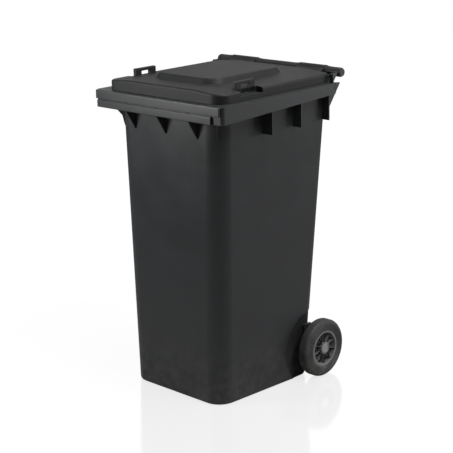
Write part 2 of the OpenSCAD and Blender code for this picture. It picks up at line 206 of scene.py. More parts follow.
def cut(point, normal):
    """Cuts the piece through with a plane, closes the cut and clears what is in front of the plane."""
    bpy.ops.mesh.select_all(action="SELECT")
    bpy.ops.mesh.bisect(plane_co=point, plane_no=normal, use_fill=True, clear_outer=True)


def slope(dy, dz, side=1):
    """Normal of a plane that holds the X axis and the run (dy, dz); side -1 turns it over."""
    return Vector((0, -dz, dy)) * side


def score(point, normal):
    """Draws a line round the piece where a plane meets it."""
    bpy.ops.mesh.select_all(action="SELECT")
    bpy.ops.mesh.bisect(plane_co=point, plane_no=normal)


def thicken(piece, thickness):
    """Gives an open shell a wall that grows inwards."""
    apply_modifier(piece, "wall", "SOLIDIFY", thickness=thickness, offset=-1, use_even_offset=True)


def close_piece(piece, softness=0.0, segments=2, smooth=35, limit=28):
    """Leaves edit mode, softens the sharp edges and shades the piece smoothly up to an angle."""
    take_up(piece)
    if softness:
        apply_modifier(piece, "soft_edges", "BEVEL", width=softness, segments=segments, limit_method="ANGLE",
                       angle_limit=math.radians(limit), miter_outer="MITER_ARC")
    bpy.ops.object.shade_smooth_by_angle(angle=math.radians(smooth))
    return piece


def apply_boolean(piece, tool, operation):
    """Joins a tool to a piece or cuts it away, tidies the faces and leaves the piece in edit mode."""
    apply_modifier(piece, "tool", "BOOLEAN", operation=operation, solver="EXACT", object=tool)
    bpy.data.objects.remove(tool)
    edit_all(piece)
    bpy.ops.mesh.remove_doubles(threshold=0.02 * MM)
    bpy.ops.mesh.dissolve_limited(angle_limit=math.radians(0.4))


def join(name, pieces):
    """Makes one piece of several."""
    select_nothing()
    for piece in pieces:
        piece.select_set(True)
    bpy.context.view_layer.objects.active = pieces[0]
    bpy.ops.object.join()
    pieces[0].name = pieces[0].data.name = name
    return pieces[0]


def copy_of(piece, name):
    """A copy with its own mesh."""
    take_up(piece)
    bpy.ops.object.duplicate(linked=False)
    twin = bpy.context.object
    twin.name = twin.data.name = name
    return twin


def turn_copy(piece, name, centre, angle):
    """A copy turned about an axle along X."""
    twin = copy_of(piece, name)
    edit_all(twin)
    bpy.ops.transform.rotate(value=angle, orient_axis="X", center_override=centre)
    bpy.ops.object.mode_set(mode="OBJECT")
    return twin


def mirrored(piece, name):
    """A copy of a closed piece for the other side, with its faces turned outwards again."""
    twin = copy_of(piece, name)
    edit_all(twin)
    bpy.ops.transform.resize(value=(-1, 1, 1), center_override=(0, 0, 0))
    bpy.ops.mesh.remove_doubles(threshold=0.001 * MM)
    bpy.ops.mesh.normals_make_consistent(inside=False)
    bpy.ops.object.mode_set(mode="OBJECT")
    return twin


def put_down(piece, location, rotation):
    """Moves and turns a piece, and keeps its place in its mesh."""
    take_up(piece)
    piece.location = location
    piece.rotation_euler = rotation
    bpy.ops.object.transform_apply(location=True, rotation=True, scale=True)


def seat_on_rim(piece):
    """Moves a piece drawn on a level rim to the rim's own height and pitch."""
    put_down(piece, (0, LIP_Y, RIM_FRONT), (RIM_PITCH, 0, 0))


def lathe(name, centre, profile, sides=96):
    """A ring turned about an axle along X. The profile is a closed line of (x, radius)."""
    select_nothing()
    x0, r0 = profile[0]
    bpy.ops.mesh.primitive_circle_add(
        vertices=sides, radius=r0, fill_type="NOTHING", rotation=(0, math.pi / 2, 0),
        location=(x0, centre.y, centre.z))
    piece = open_piece(name)
    bpy.ops.mesh.select_mode(type="EDGE")
    bpy.ops.mesh.select_all(action="SELECT")
    for (xa, ra), (xb, rb) in zip(profile, profile[1:] + profile[:1]):
        bpy.ops.mesh.extrude_region_move(TRANSFORM_OT_translate={"value": (xb - xa, 0, 0)})
        bpy.ops.transform.resize(value=(1, rb / ra, rb / ra), center_override=(xb, centre.y, centre.z))
    bpy.ops.mesh.select_mode(type="VERT")
    bpy.ops.mesh.select_all(action="SELECT")
    bpy.ops.mesh.remove_doubles(threshold=0.01 * MM)
    bpy.ops.mesh.normals_make_consistent(inside=False)
    bpy.ops.object.mode_set(mode="OBJECT")
    return piece


def rim_height(y):
    """Height of the rim's top plate at y."""
    return RIM_FRONT + (y - LIP_Y) * math.tan(RIM_PITCH)


def skirt_height(y):
    """Height of the lower edge of the rim's skirt at y."""
    return rim_height(y) - SKIRT_FRONT + (SKIRT_FRONT - SKIRT_REAR) * (y - LIP_Y) / RIM_DEPTH


def tub_plan(z, inset=0.0):
    """Front half width, rear half width, front face and rear face of the tub at height z."""
    share = z / LEVEL
    half_f, half_r, front, rear = (a + (b - a) * share for a, b in zip(GROUND_PLAN, UPPER_PLAN))
    return half_f - inset, half_r - inset, front + inset, rear - inset


def tapered_tub(name, z0, z1, inset, front_r, rear_r):
    """Closed tapered body with rounded upright corners."""
    half = 100 * MM
    piece = add_box(name, (-half, -half, z0), (half, half, z1))
    for z in (z0, z1):
        half_f, half_r, front, rear = tub_plan(z, inset)
        for side in (-1, 1):
            for end, x, y in ((-1, half_f, front), (1, half_r, rear)):
                pick(piece, "VERT", lambda v: abs(v.co.z - z) < 0.1 * MM and v.co.x * side > 0
                     and v.co.y * end > 0)
                bpy.ops.transform.translate(value=(side * (x - half), y - end * half, 0))
    round_edges(piece, front_r, 10, lambda e: upright(e) and middle(e).y < 0)
    round_edges(piece, rear_r, 10, lambda e: upright(e) and middle(e).y > 0.1 and abs(middle(e).x) > 0.15)
    return piece


# ---------- Materials ----------

def new_group(name, inputs, outputs):
    """A shader group with number sockets, its input node and its output node."""
    group = bpy.data.node_groups.new(name, "ShaderNodeTree")
    for socket, default in inputs:
        made = group.interface.new_socket(socket, in_out="INPUT", socket_type="NodeSocketFloat")
        made.default_value = default
    for socket in outputs:
        group.interface.new_socket(socket, in_out="OUTPUT", socket_type="NodeSocketFloat")
    start = group.nodes.new("NodeGroupInput")
    end = group.nodes.new("NodeGroupOutput")
    return group, start, end


def add_node(tree, kind, links=None, **values):
    """A node with its settings, and its inputs linked from or set to what links gives."""
    node = tree.nodes.new(kind)
    for key, value in values.items():
        setattr(node, key, value)
    for socket, source in (links or {}).items():
        if isinstance(source, bpy.types.NodeSocket):
            tree.links.new(source, node.inputs[socket])
        else:
            node.inputs[socket].default_value = source
    return node


def ramp(tree, source, low, high, start=0.0, end=1.0, shape="LINEAR"):
    """A value that goes from start, where the source is low, to end, where it is high."""
    return add_node(tree, "ShaderNodeMapRange", {
        "Value": source, "From Min": low, "From Max": high, "To Min": start, "To Max": end},
        interpolation_type=shape).outputs["Result"]


def maths(tree, operation, a, b):
    node = add_node(tree, "ShaderNodeMath", {0: a, 1: b}, operation=operation)
    return node.outputs["Value"]


def moulded_grain_group():
    """Spark-eroded mould texture with faint flow mottling."""
    group, start, end = new_group("moulded_grain", (("Grain Size", 900.0), ("Mottle Size", 9.0)),
                                  ("Height", "Tone", "Gloss"))
    place = add_node(group, "ShaderNodeTexCoord").outputs["Object"]
    fine = add_node(group, "ShaderNodeTexNoise", {
        "Vector": place, "Scale": start.outputs["Grain Size"], "Detail": 2.0, "Roughness": 0.6})
    cells = add_node(group, "ShaderNodeTexVoronoi", {"Vector": place, "Scale": start.outputs["Grain Size"]})
    broad = add_node(group, "ShaderNodeTexNoise", {
        "Vector": place, "Scale": start.outputs["Mottle Size"], "Detail": 4.0, "Roughness": 0.55})
    height = maths(group, "ADD", fine.outputs["Fac"],
                   maths(group, "MULTIPLY", cells.outputs["Distance"], 0.5))
    group.links.new(height, end.inputs["Height"])
    group.links.new(ramp(group, broad.outputs["Fac"], 0.3, 0.7), end.inputs["Tone"])
    gloss = maths(group, "ADD", maths(group, "MULTIPLY", broad.outputs["Fac"], 0.6),
                  maths(group, "MULTIPLY", fine.outputs["Fac"], 0.4))
    group.links.new(gloss, end.inputs["Gloss"])
    return group


def ground_dust_group():
    """Dust that gathers towards the ground and on faces that look up."""
    group, start, end = new_group("ground_dust", (("Reach", 0.22), ("Patch Size", 26.0)), ("Mask",))
    place = add_node(group, "ShaderNodeTexCoord").outputs["Object"]
    height = add_node(group, "ShaderNodeSeparateXYZ", {"Vector": place}).outputs["Z"]
    low = maths(group, "SUBTRACT", 1.0, maths(group, "DIVIDE", height, start.outputs["Reach"]))
    low = add_node(group, "ShaderNodeClamp", {"Value": low}).outputs["Result"]
    normal = add_node(group, "ShaderNodeNewGeometry").outputs["Normal"]
    up = add_node(group, "ShaderNodeSeparateXYZ", {"Vector": normal}).outputs["Z"]
    up = maths(group, "MULTIPLY", ramp(group, up, 0.5, 1.0), 0.35)
    patches = add_node(group, "ShaderNodeTexNoise", {
        "Vector": place, "Scale": start.outputs["Patch Size"], "Detail": 6.0, "Roughness": 0.62})
    patches = ramp(group, patches.outputs["Fac"], 0.35, 0.75)
    group.links.new(maths(group, "MULTIPLY", maths(group, "MAXIMUM", low, up), patches), end.inputs["Mask"])
    return group


def handling_scuffs_group():
    """Fine scratches from handling, long in one direction."""
    group, start, end = new_group("handling_scuffs", (("Amount", 0.5), ("Line Size", 40.0)), ("Mask",))
    place = add_node(group, "ShaderNodeTexCoord").outputs["Object"]
    turned = add_node(group, "ShaderNodeMapping", {"Vector": place, "Scale": (1.0, 1.0, 0.06)})
    turned.inputs["Rotation"].default_value = (0.5, 0.35, 0.2)
    lines = add_node(group, "ShaderNodeTexNoise", {
        "Vector": turned.outputs["Vector"], "Scale": start.outputs["Line Size"], "Detail": 5.0,
        "Roughness": 0.7})
    fields = add_node(group, "ShaderNodeTexNoise", {"Vector": place, "Scale": 5.0, "Detail": 2.0})
    mask = maths(group, "MULTIPLY", ramp(group, lines.outputs["Fac"], 0.62, 0.72),
                 ramp(group, fields.outputs["Fac"], 0.5, 0.7))
    group.links.new(maths(group, "MULTIPLY", mask, start.outputs["Amount"]), end.inputs["Mask"])
    return group


def new_material(name):
    material = bpy.data.materials.new(name)
    material.use_nodes = True
    tree = material.node_tree
    return material, tree, tree.nodes["Principled BSDF"]


def group_node(tree, group, **values):
    """A shader group placed in a material with its own values."""
    node = tree.nodes.new("ShaderNodeGroup")
    node.node_tree = group
    for socket, value in values.items():
        node.inputs[socket.replace("_", " ")].default_value = value
    return node


def mix_colour(tree, mask, first, second):
    """The first colour where the mask is 0 and the second where it is 1."""
    node = add_node(tree, "ShaderNodeMix", data_type="RGBA")
    tree.links.new(mask, node.inputs["Factor"])
    for socket, source in ((6, first), (7, second)):
        if isinstance(source, bpy.types.NodeSocket):
            tree.links.new(source, node.inputs[socket])
        else:
            node.inputs[socket].default_value = (*source, 1.0)
    return node.outputs[2]


def scaled(colour, share):
    return tuple(min(1.0, c * share) for c in colour)


def add_relief(tree, shader, skin, strength, distance):
    """Small relief from a skin's height."""
    bump = add_node(tree, "ShaderNodeBump", {
        "Height": skin.outputs["Height"], "Strength": strength, "Distance": distance})
    tree.links.new(bump.outputs["Normal"], shader.inputs["Normal"])


def plastic(name, colour, rough=(0.42, 0.55), specular=0.5, grain=900.0, depth=0.05, dust=0.2,
            scuffs=0.3, dust_colour=(0.23, 0.22, 0.2)):
    """Moulded plastic with grain, mottling, scuffs and a little dust."""
    material, tree, shader = new_material(name)
    skin = group_node(tree, GROUPS["grain"], Grain_Size=grain)
    scratches = group_node(tree, GROUPS["scuffs"], Amount=scuffs)
    dirt = group_node(tree, GROUPS["dust"])
    tone = mix_colour(tree, skin.outputs["Tone"], scaled(colour, 0.9), scaled(colour, 1.1))
    tone = mix_colour(tree, scratches.outputs["Mask"], tone, scaled(colour, 2.4))
    dusty = maths(tree, "MULTIPLY", dirt.outputs["Mask"], dust)
    tone = mix_colour(tree, dusty, tone, dust_colour)
    tree.links.new(tone, shader.inputs["Base Color"])
    spread = ramp(tree, skin.outputs["Gloss"], 0.3, 0.7, *rough)
    gloss = maths(tree, "ADD", spread, maths(tree, "MULTIPLY", dusty, 0.3))
    tree.links.new(gloss, shader.inputs["Roughness"])
    shader.inputs["Specular IOR Level"].default_value = specular
    add_relief(tree, shader, skin, depth, 0.4 * MM)
    return material


def rubber(name, colour):
    return plastic(name, colour, rough=(0.5, 0.68), specular=0.42, grain=500.0, depth=0.12, dust=0.5,
                   scuffs=0.35)


def steel(name, colour, rough=(0.28, 0.45)):
    """Zinc-plated steel, faintly spangled."""
    material, tree, shader = new_material(name)
    skin = group_node(tree, GROUPS["grain"], Grain_Size=260.0, Mottle_Size=120.0)
    tone = mix_colour(tree, skin.outputs["Tone"], scaled(colour, 0.8), scaled(colour, 1.1))
    tree.links.new(tone, shader.inputs["Base Color"])
    tree.links.new(ramp(tree, skin.outputs["Gloss"], 0.3, 0.7, *rough), shader.inputs["Roughness"])
    shader.inputs["Metallic"].default_value = 1.0
    add_relief(tree, shader, skin, 0.04, 0.3 * MM)
    return material


GROUPS = {}
FINISHES = {}


def make_finishes(look):
    """Builds the shared groups once, and every finish from them."""
    GROUPS["grain"] = moulded_grain_group()
    GROUPS["dust"] = ground_dust_group()
    GROUPS["scuffs"] = handling_scuffs_group()
    tub, lid = tuple(look.tub_colour), tuple(look.lid_colour)
    wheel, tyre = tuple(look.wheel_colour), tuple(look.tyre_colour)
    plastics = {
        "tub_plastic": {"colour": tub, "rough": (look.tub_gloss, look.tub_gloss + 0.12),
                        "specular": look.specular},
        "lid_plastic": {"colour": lid, "rough": (look.lid_gloss, look.lid_gloss + 0.1),
                        "specular": look.lid_specular, "grain": 700.0},
        "pin_plastic": {"colour": tub, "specular": look.specular},
        "spacer_plastic": {"colour": scaled(tub, 0.8)},
        "wheel_plastic": {"colour": wheel, "rough": (0.34, 0.46), "dust": 0.5},
        "cap_plastic": {"colour": scaled(wheel, 1.6), "rough": (0.34, 0.46), "dust": 0.4},
        "bush_plastic": {"colour": (0.62, 0.6, 0.54), "rough": (0.3, 0.4), "dust": 0.1},
        "transponder_plastic": {"colour": scaled(tub, 0.7), "rough": (0.25, 0.35)},
    }
    for name, values in plastics.items():
        FINISHES[name] = plastic(name, **values)
    FINISHES["tyre_rubber"] = rubber("tyre_rubber", tyre)
    FINISHES["pad_rubber"] = rubber("pad_rubber", scaled(tyre, 0.8))
    FINISHES["axle_steel"] = steel("axle_steel", (0.56, 0.56, 0.55))
    FINISHES["nut_steel"] = steel("nut_steel", (0.62, 0.6, 0.5), rough=(0.22, 0.36))


def level_shading(piece):
    """Lets the large faces set the shading, so that only the small edges look round."""
    apply_modifier(piece, "level_shading", "WEIGHTED_NORMAL", keep_sharp=True)


def dress(piece, slot, body=None, stands_for=(), finish=None):
    """Gives a piece its finish, its body and the nodes that it stands for."""
    piece.data.materials.clear()
    piece.data.materials.append(FINISHES[finish or slot])
    if body:
        level_shading(piece)
        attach(piece, body)
    for node in stands_for:
        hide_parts(node)


# ---------- Sizes and colours ----------

class BinTubSettings(bpy.types.PropertyGroup):
    front_corner: FloatProperty(name="Front corner", description="Radius of the upright corners at the front",
                                default=0.060, min=0.03, max=0.08, unit="LENGTH")
    rear_corner: FloatProperty(name="Rear corner", description="Radius of the upright corners at the rear",
                               default=0.036, min=0.025, max=0.05, unit="LENGTH")
    wall: FloatProperty(name="Wall", description="Thickness of the tub's wall", default=0.0045, min=0.003,
                        max=0.006, unit="LENGTH")
    base_edge: FloatProperty(name="Base edge", description="Radius of the edge between wall and floor",
                             default=0.009, min=0.005, max=0.016, unit="LENGTH")
    rib: FloatProperty(name="Rib", description="Thickness of the ribs under the rim", default=0.005,
                       min=0.003, max=0.007, unit="LENGTH")
    softness: FloatProperty(name="Edge softness", description="Radius of the moulding's small edges",
                            default=0.0012, min=0.0005, max=0.002, unit="LENGTH")
    recess_r: FloatProperty(name="Wheel recess", description="Radius of the recess beside each wheel",
                            default=0.137, min=0.12, max=0.14, unit="LENGTH")


class BinLidSettings(bpy.types.PropertyGroup):
    wall: FloatProperty(name="Wall", description="Thickness of the lid's wall", default=0.004, min=0.003,
                        max=0.005, unit="LENGTH")
    shoulder: FloatProperty(name="Shoulder", description="Radius of the lid's upper edge", default=0.007,
                            min=0.003, max=0.01, unit="LENGTH")
    panel_edge: FloatProperty(name="Panel edge", description="Radius of the raised panel's edges",
                              default=0.005, min=0.002, max=0.01, unit="LENGTH")


class BinWheelSettings(bpy.types.PropertyGroup):
    spokes: IntProperty(name="Spokes", description="Number of spokes in each wheel", default=10,
                        min=8, max=14)
    rings: IntProperty(name="Sidewall rings", description="Number of raised rings on each side of a tyre",
                       default=4, min=0, max=5)
    grooves: IntProperty(name="Tread grooves", description="Number of grooves round the tread", default=3,
                         min=0, max=5)


class BinLookSettings(bpy.types.PropertyGroup):
    tub_colour: FloatVectorProperty(name="Tub", description="Colour of the tub's plastic", subtype="COLOR",
                                    default=(0.0185, 0.0195, 0.021), min=0, max=1)
    lid_colour: FloatVectorProperty(name="Lid", description="Colour of the lid's plastic", subtype="COLOR",
                                    default=(0.0145, 0.0151, 0.016), min=0, max=1)
    wheel_colour: FloatVectorProperty(name="Wheel", description="Colour of the wheel's plastic",
                                      subtype="COLOR", default=(0.17, 0.171, 0.174), min=0, max=1)
    tyre_colour: FloatVectorProperty(name="Tyre", description="Colour of the tyres", subtype="COLOR",
                                     default=(0.032, 0.032, 0.033), min=0, max=1)
    tub_gloss: FloatProperty(name="Tub roughness", description="Lowest roughness of the tub's plastic",
                             default=0.34, min=0.1, max=1, subtype="FACTOR")
    lid_gloss: FloatProperty(name="Lid roughness", description="Lowest roughness of the lid's plastic",
                             default=0.48, min=0.1, max=1, subtype="FACTOR")
    lid_specular: FloatProperty(name="Lid specular", description="Strength of the lid's sheen", default=0.25,
                                min=0, max=1, subtype="FACTOR")
    specular: FloatProperty(name="Specular", description="Strength of the tub's sheen", default=0.45,
                            min=0, max=1, subtype="FACTOR")


class BinStageSettings(bpy.types.PropertyGroup):
    floor: FloatVectorProperty(name="Floor", description="Colour of the floor", subtype="COLOR",
                               default=(0.4, 0.4, 0.4), min=0, max=1)
    key: FloatProperty(name="Key light", description="Power of the key light at the front", default=13.0,
                       min=0, subtype="POWER")
    top: FloatProperty(name="Top light", description="Power of the light above", default=32.0, min=0,
                       subtype="POWER")
    left: FloatProperty(name="Left light", description="Power of the light high at the left", default=4.0,
                        min=0, subtype="POWER")
    fill: FloatProperty(name="Fill light", description="Power of the light at the right", default=75.0,
                        min=0, subtype="POWER")
    side: FloatProperty(name="Side light", description="Power of the light beside the bin", default=0.5,
                        min=0, subtype="POWER")
    rear: FloatProperty(name="Rear light", description="Power of the light at the right rear", default=40.0,
                        min=0, subtype="POWER")
    backdrop: FloatProperty(name="Backdrop light", description="Power of the bright backdrop behind",
                            default=30.0, min=0, subtype="POWER")
    sky: FloatProperty(name="Sky", description="Brightness of the surroundings", default=0.17, min=0)
    glow: FloatProperty(name="Floor glow", description="Brightness added to the floor", default=0.98, min=0)
    mirror: FloatProperty(name="Floor reflection", description="Share of the floor that reflects",
                          default=0.22, min=0, max=1, subtype="FACTOR")
    show: BoolProperty(name="Floor shown", description="Whether the floor is laid", default=True)


SETTINGS = {
    "bin_tub": BinTubSettings,
    "bin_lid": BinLidSettings,
    "bin_wheels": BinWheelSettings,
    "bin_look": BinLookSettings,
    "bin_stage": BinStageSettings,
}


# ---------- Operators ----------

class BIN_OT_stage(bpy.types.Operator):
    """Sets up the camera, the lights, the surroundings and the floor"""
    bl_idname = "bin.stage"
    bl_label = "Stage"

    def execute(self, context):
        stage = context.scene.bin_stage
        select_nothing()
        turn, tilt = math.radians(CAMERA_TURN), math.radians(CAMERA_TILT)
        bpy.ops.object.camera_add(location=CAMERA_PLACE, rotation=(math.pi / 2 - tilt, 0, turn))
        camera = context.object
        camera.name = "bin_camera"
        camera.data.sensor_width = 36
        camera.data.lens = CAMERA_LENS
        camera.data.shift_x, camera.data.shift_y = CAMERA_SHIFT
        camera.data.dof.use_dof = False
        context.scene.camera = camera
        context.scene.view_settings.view_transform = "Standard"
        world = context.scene.world or bpy.data.worlds.new("bin_sky")
        context.scene.world = world
        world.use_nodes = True
        tree = world.node_tree
        dim = tree.nodes["Background"]
        dim.inputs["Color"].default_value = (1, 1, 1, 1)
        dim.inputs["Strength"].default_value = stage.sky
        white = add_node(tree, "ShaderNodeBackground", {"Color": (1, 1, 1, 1), "Strength": 1.0})
        seen = add_node(tree, "ShaderNodeLightPath").outputs["Is Camera Ray"]
        mixed = add_node(tree, "ShaderNodeMixShader", {0: seen, 1: dim.outputs[0], 2: white.outputs[0]})
        tree.links.new(mixed.outputs[0], tree.nodes["World Output"].inputs["Surface"])
        for name, place, size, power in (
                ("key_light", (-0.6, -1.2, 1.12), (0.5, 0.4), stage.key),
                ("left_light", (-2.3, -0.8, 3.4), (1.2, 1.2), stage.left),
                ("top_light", (0.2, 0.6, 3.2), (1.6, 1.6), stage.top),
                ("fill_light", (2.2, 0.2, 3.4), (1.4, 1.4), stage.fill),
                ("side_light", (3.2, 0.4, 1.2), (1.4, 1.6), stage.side),
                ("backdrop_light", (-3.0, 3.5, 1.5), (6.0, 3.0), stage.backdrop),
                ("rear_light", (2.6, 3.1, 1.5), (1.8, 1.8), stage.rear)):
            bpy.ops.object.light_add(type="AREA", location=place)
            light = context.object
            light.name = name
            light.data.shape = "RECTANGLE"
            light.data.size, light.data.size_y = size
            light.data.energy = power
            light.visible_camera = False
            light.rotation_euler = (LIGHTS_AIM - Vector(place)).to_track_quat("-Z", "Y").to_euler()
        if stage.show:
            select_nothing()
            bpy.ops.mesh.primitive_plane_add(size=60, location=(0, 0, 0))
            floor = context.object
            floor.name = "floor"
            material, tree, shader = new_material("floor")
            shader.inputs["Base Color"].default_value = (*stage.floor, 1)
            shader.inputs["Roughness"].default_value = 0.5
            shader.inputs["Specular IOR Level"].default_value = 0.2
            glow = add_node(tree, "ShaderNodeEmission", {"Color": (1, 1, 1, 1), "Strength": stage.glow})
            mirror = add_node(tree, "ShaderNodeBsdfGlossy", {"Color": (1, 1, 1, 1), "Roughness": 0.12})
            matt = add_node(tree, "ShaderNodeBsdfDiffuse", {"Color": (*scaled(stage.floor, 0.3), 1)})
            paper = add_node(tree, "ShaderNodeAddShader", {0: matt.outputs[0], 1: glow.outputs[0]})
            place = add_node(tree, "ShaderNodeTexCoord").outputs["Object"]
            away = add_node(tree, "ShaderNodeVectorMath", {0: place}, operation="LENGTH").outputs["Value"]
            near = ramp(tree, away, 0.8, 1.9, stage.mirror, 0.0, "SMOOTHSTEP")
            sheen = add_node(tree, "ShaderNodeMixShader", {
                0: near, 1: paper.outputs[0], 2: mirror.outputs[0]})
            seen = add_node(tree, "ShaderNodeLightPath").outputs["Is Camera Ray"]
            both = add_node(tree, "ShaderNodeMixShader", {0: seen, 1: shader.outputs[0], 2: sheen.outputs[0]})
            tree.links.new(both.outputs[0], tree.nodes["Material Output"].inputs["Surface"])
            floor.data.materials.append(material)
        return {"FINISHED"}


class BIN_OT_finishes(bpy.types.Operator):
    """Makes the shared effects and the finishes, and gives the carried-over fittings theirs"""
    bl_idname = "bin.finishes"
    bl_label = "Finishes"

    def execute(self, context):
        make_finishes(context.scene.bin_look)
        fittings = {
            "axle": "axle_steel", "lid_pads": "pad_rubber", "transponder": "transponder_plastic",
            "transponder_plug": "transponder_plastic",
        }
        for side in (LEFT, RIGHT):
            fittings[f"hinge_pin_{side}"] = "pin_plastic"
            fittings[f"axle_spacer_{side}"] = "spacer_plastic"
            fittings[f"push_nut_{side}"] = "nut_steel"
            fittings[f"bush_inner_{side}"] = "bush_plastic"
            fittings[f"bush_outer_{side}"] = "bush_plastic"
        for node, slot in fittings.items():
            dress(frame["nodes"][node], slot)
        return {"FINISHED"}


class BIN_OT_tub_shell(bpy.types.Operator):
    """Models the tapered tub with its floor, wall and wheel recesses"""
    bl_idname = "bin.tub_shell"
    bl_label = "Tub shell"

    def execute(self, context):
        tub = context.scene.bin_tub
        piece = tapered_tub("tub_shell", 0, 1.06, 0, tub.front_corner, tub.rear_corner)
        round_edges(piece, tub.base_edge, 5,
                    lambda e: abs(middle(e).z) < 1e-4 and len(e.link_faces) == 2)
        for side in (-1, 1):
            tool = add_rod("recess_tool", AXLE, tub.recess_r, side * RECESS_IN, side * 0.27, sides=96)
            round_edges(tool, 6 * MM, 3, lambda e: abs(run(e).x) < 0.5
                        and abs(middle(e).x) < RECESS_IN + 4 * MM)
            apply_boolean(piece, tool, "DIFFERENCE")
        cut((0, LIP_Y, RIM_FRONT - 1 * MM), (0, -math.sin(RIM_PITCH), math.cos(RIM_PITCH)))
        pick(piece, "FACE", lambda f: f.normal.z > 0.99 and middle(f).z > 0.9)
        bpy.ops.mesh.delete(type="FACE")
        thicken(piece, tub.wall)
        close_piece(piece, smooth=30)
        dress(piece, "tub_plastic", "tub", ["tub"])
        return {"FINISHED"}


class BIN_OT_rim(bpy.types.Operator):
    """Models the rim: a top plate round the opening with a deep skirt"""
    bl_idname = "bin.rim"
    bl_label = "Rim"

    def execute(self, context):
        tub = context.scene.bin_tub
        back = 8 * MM

        def rounded_box(name, inset, low, high):
            piece = add_box(name, (-RIM_HALF + inset, back + inset, low),
                            (RIM_HALF - inset, RIM_DEPTH - inset, high))
            round_edges(piece, 12 * MM - inset, 5, lambda e: upright(e) and middle(e).y < 0.1)
            round_edges(piece, 24 * MM - inset, 7, lambda e: upright(e) and middle(e).y > 0.4)
            return piece

        rim = rounded_box("rim", 0, -SKIRT_FRONT - 0.01, 0)
        cavity = rounded_box("cavity_tool", RIM_PLATE, -0.1, -RIM_PLATE)
        apply_boolean(rim, cavity, "DIFFERENCE")
        cut((0, 0, -SKIRT_FRONT), slope(RIM_DEPTH, SKIRT_FRONT - SKIRT_REAR, -1))
        seat_on_rim(rim)
        opening = tapered_tub("opening_tool", 0.9, 1.1, tub.wall, tub.front_corner - tub.wall,
                              tub.rear_corner - tub.wall)
        apply_boolean(rim, opening, "DIFFERENCE")
        close_piece(rim, softness=2 * tub.softness, segments=3)
        dress(rim, "tub_plastic", "tub", ["tub"])
        return {"FINISHED"}


class BIN_OT_comb_lip(bpy.types.Operator):
    """Models the comb lip at the front: two bands with a groove and a notch"""
    bl_idname = "bin.comb_lip"
    bl_label = "Comb lip"

    def execute(self, context):
        half, band, groove, notch = 283 * MM, 29 * MM, 3.6 * MM, 37 * MM
        front = LIP_Y
        split = RIM_FRONT - band
        upper = add_box("upper_band", (-half, front, split), (half, front + 6 * MM, RIM_FRONT))
        score((0, 0, RIM_FRONT - RIM_PLATE), (0, 0, 1))
        pick(upper, "FACE", lambda f: f.normal.y > 0.9 and middle(f).z > RIM_FRONT - RIM_PLATE)
        bpy.ops.mesh.extrude_region_move(TRANSFORM_OT_translate={"value": (0, 39 * MM, 0)})
        close_piece(upper, softness=2.4 * MM, segments=3)
        bottom = RIM_FRONT - SKIRT_FRONT
        lower = add_box("lower_band", (-half + 4 * MM, front + 1.2 * MM, bottom),
                        (half - notch, front + 6.5 * MM, split - groove))
        close_piece(lower, softness=1.8 * MM, segments=3)
        neck = add_box("groove_floor", (-half + 6 * MM, front + 5.4 * MM, split - groove - 3 * MM),
                       (half - notch - 2 * MM, front + 7.5 * MM, split + 3 * MM))
        close_piece(neck, softness=0.4 * MM, segments=1)
        pieces = [upper, lower, neck]
        for x in (-half + 6 * MM, -215 * MM, 215 * MM):
            post = add_box("lip_post", (x - 2 * MM, front + 5 * MM, bottom + 3 * MM),
                           (x + 2 * MM, front + 12 * MM, RIM_FRONT - 2 * MM))
            pieces.append(close_piece(post, softness=0.6 * MM, segments=1))
        piece = join("comb_lip", pieces)
        dress(piece, "tub_plastic", "tub", ["tub"])
        return {"FINISHED"}


class BIN_OT_gussets(bpy.types.Operator):
    """Models the gussets under the comb lip and the ribs under the side rims"""
    bl_idname = "bin.gussets"
    bl_label = "Gussets and ribs"

    def execute(self, context):
        tub = context.scene.bin_tub
        half_t, lip_in, root = tub.rib / 2, 3 * MM, 2 * MM
        lip_low = RIM_FRONT - SKIRT_FRONT
        tip = lip_low - RIB_DROP
        wall_y = UPPER_PLAN[2]
        pieces = []
        for x in (-FRONT_RIB_X, 0, FRONT_RIB_X):
            rib = add_box("front_gusset", (x - half_t, LIP_Y + lip_in, tip),
                          (x + half_t, wall_y + 10 * MM, RIM_FRONT - RIM_PLATE))
            cut((x, LIP_Y + lip_in, lip_low + root),
                slope(wall_y - root - LIP_Y - lip_in, tip - lip_low - root, -1))
            pieces.append(close_piece(rib, softness=0.8 * MM))
        front_r, reach, width = 60 * MM, 62 * MM, 20 * MM
        for side in (-1, 1):
            rib = add_box("corner_gusset", (-half_t, front_r - 8 * MM, tip),
                          (half_t, front_r + reach - width, RIM_FRONT - RIM_PLATE))
            outline = ((front_r, tip), (front_r + 8 * MM, tip + 34 * MM),
                       (front_r + reach * 0.45, lip_low - 6 * MM),
                       (front_r + reach - width, lip_low + root))
            for (ya, za), (yb, zb) in zip(outline, outline[1:]):
                wedge = add_box("wedge_tool", (-width, ya, tip - width), (width, yb, zb + 1 * MM))
                cut((0, ya, za), slope(yb - ya, zb - za))
                apply_boolean(rib, wedge, "DIFFERENCE")
            put_down(rib, (side * (UPPER_PLAN[0] - front_r), wall_y + front_r, 0),
                     (0, 0, math.radians(180 + 45 * side)))
            pieces.append(close_piece(rib, softness=0.8 * MM))
        for index, y in enumerate(SIDE_RIBS_Y):
            rib = add_box("side_rib", (UPPER_PLAN[0] - 14 * MM, y - half_t, tip + 5 * MM * index),
                          (RIM_HALF - RIM_PLATE - 5 * MM, y + half_t, rim_height(y) - 2 * MM))
            close_piece(rib, softness=0.8 * MM)
            pieces += [rib, mirrored(rib, "side_rib")]
        piece = join("gussets", pieces)
        dress(piece, "tub_plastic", "tub", ["tub"])
        return {"FINISHED"}


